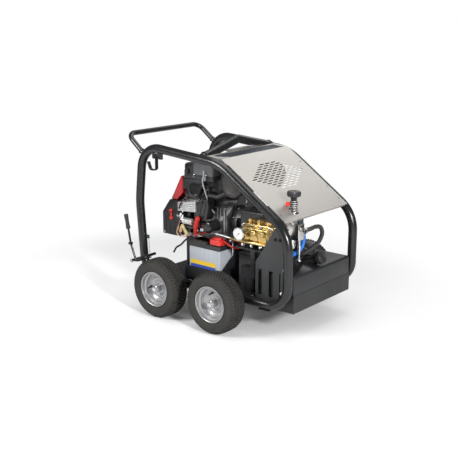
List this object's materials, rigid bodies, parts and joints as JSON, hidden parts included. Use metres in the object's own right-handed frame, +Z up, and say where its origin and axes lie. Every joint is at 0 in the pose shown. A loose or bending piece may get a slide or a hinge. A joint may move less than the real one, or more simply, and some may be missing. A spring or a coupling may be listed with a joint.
{
  "type": "pressure washer",
  "caption": "Petrol pressure washer in a black tube frame on pneumatic wheels, with a V-twin engine, brass plunger pump, fuel tank, slotted steel hood, parking brake and push handle",
  "frame": {"origin": "on the floor, under the middle of the bounding box", "axes": "+X towards the front (tank) end, +Y to the machine's right side, +Z up; the brake, battery, pump head and gauge are on the -Y side"},
  "size_m": [1.1658, 0.952, 0.9899],
  "materials": {
    "frame_black": "gloss black powder coat",
    "chassis_black": "satin black paint on folded sheet",
    "hook_steel": "satin dark grey",
    "hood_steel": "brushed stainless sheet, warm",
    "tank_plastic": "moulded black polyethylene",
    "cap_plastic": "black, ribbed",
    "zinc_steel": "bright zinc",
    "grip_rubber": "soft black",
    "battery_plastic": "pale translucent grey",
    "black_plastic": "black",
    "red_plastic": "bright red",
    "red_rubber": "red",
    "red_paint": "gloss red",
    "engine_cast": "dark cast aluminium",
    "engine_black": "gloss black",
    "cylinder_alloy": "cast aluminium",
    "grey_plastic": "dark grey",
    "muffler_steel": "heat-resistant black",
    "starter_steel": "plated",
    "shaft_steel": "machined steel",
    "bell_cast": "dark cast aluminium",
    "pump_black": "satin black casting",
    "pump_brass": "machined brass",
    "gauge_chrome": "chromed case, white dial",
    "valve_nickel": "nickel plated",
    "knob_plastic": "black with finger ribs",
    "blue_rubber": "blue hose",
    "black_rubber": "black hose",
    "tyre_rubber": "dark brown-grey tread rubber",
    "rim_silver": "silver-grey painted pressed steel"
  },
  "bodies": {
    "chassis": {"side_frame_left": "frame_black", "side_frame_right": "frame_black", "push_handle": "frame_black", "lifting_bow": "frame_black", "hose_hook": "hook_steel", "hood_panel": "hood_steel", "chassis_plate": "chassis_black", "front_box": "chassis_black", "fuel_tank": "tank_plastic", "gusset_left": "chassis_black", "rear_axle": "zinc_steel", "front_axle": "zinc_steel", "battery_tray": "chassis_black", "battery_case": "battery_plastic", "battery_lid": "black_plastic", "terminal_cover": "red_plastic", "battery_clamp": "zinc_steel", "battery_cable": "red_rubber", "starter_boot": "red_rubber", "engine_cradle": "chassis_black", "crankcase": "engine_cast", "cylinder_left": "cylinder_alloy", "cylinder_right": "cylinder_alloy", "valve_cover_left": "engine_black", "valve_cover_right": "engine_black", "blower_housing": "engine_black", "fan_shroud": "red_paint", "air_cleaner": "grey_plastic", "carburettor": "cylinder_alloy", "muffler": "muffler_steel", "starter_motor": "starter_steel", "oil_filter": "engine_black", "bell_housing": "bell_cast", "pump_crankcase": "pump_black", "pump_head": "pump_brass", "pump_stand": "chassis_black", "pressure_gauge": "gauge_chrome", "unloader_valve": "valve_nickel", "blue_hose": "blue_rubber", "black_hose": "black_rubber", "inlet_filter": "grey_plastic"},
    "wheel_rear_left": {"tyre_rear_left": "tyre_rubber", "rim_rear_left": "rim_silver"},
    "wheel_rear_right": {"tyre_rear_right": "tyre_rubber", "rim_rear_right": "rim_silver"},
    "wheel_front_left": {"tyre_front_left": "tyre_rubber", "rim_front_left": "rim_silver"},
    "wheel_front_right": {"tyre_front_right": "tyre_rubber", "rim_front_right": "rim_silver"},
    "brake": {"brake_lever": "frame_black", "brake_grip": "grip_rubber"},
    "rotor": {"crankshaft": "shaft_steel", "flywheel_fan": "cylinder_alloy", "shaft_coupling": "shaft_steel"},
    "throttle": {"throttle_lever": "red_plastic"},
    "needle": {"gauge_needle": "black_plastic"},
    "regulator": {"regulator_knob": "knob_plastic"},
    "filler_cap": {"fuel_cap": "cap_plastic"}
  },
  "joints": [
    {"name": "wheel_rear_left_spin", "type": "hinge", "parent": "chassis", "child": "wheel_rear_left", "pos_m": [-0.2245, -0.416, 0.165], "axis": [0, 1, 0], "continuous": true},
    {"name": "wheel_rear_right_spin", "type": "hinge", "parent": "chassis", "child": "wheel_rear_right", "pos_m": [-0.2245, 0.416, 0.165], "axis": [0, 1, 0], "continuous": true},
    {"name": "wheel_front_left_spin", "type": "hinge", "parent": "chassis", "child": "wheel_front_left", "pos_m": [0.1775, -0.416, 0.165], "axis": [0, 1, 0], "continuous": true},
    {"name": "wheel_front_right_spin", "type": "hinge", "parent": "chassis", "child": "wheel_front_right", "pos_m": [0.1775, 0.416, 0.165], "axis": [0, 1, 0], "continuous": true},
    {"name": "brake_apply", "type": "hinge", "parent": "chassis", "child": "brake", "pos_m": [-0.3895, -0.305, 0.3], "axis": [0, 1, 0], "range_deg": [0, 27]},
    {"name": "crank_spin", "type": "hinge", "parent": "chassis", "child": "rotor", "pos_m": [-0.2245, 0, 0.505], "axis": [1, 0, 0], "continuous": true},
    {"name": "throttle_swing", "type": "hinge", "parent": "chassis", "child": "throttle", "pos_m": [-0.3445, -0.1883, 0.5], "axis": [0, 1, 0], "range_deg": [-25, 35]},
    {"name": "gauge_sweep", "type": "hinge", "parent": "chassis", "child": "needle", "pos_m": [0.2355, -0.2963, 0.522], "axis": [0, 1, 0], "range_deg": [0, 270]},
    {"name": "regulator_turn", "type": "hinge", "parent": "chassis", "child": "regulator", "pos_m": [0.4755, -0.147, 0.728], "axis": [0, 0, 1], "range_deg": [-720, 720]},
    {"name": "filler_cap_turn", "type": "hinge", "parent": "chassis", "child": "filler_cap", "pos_m": [0.5373, 0.005, 0.3779], "axis": [0.8829, 0, 0.4695], "range_deg": [0, 90]}
  ]
}
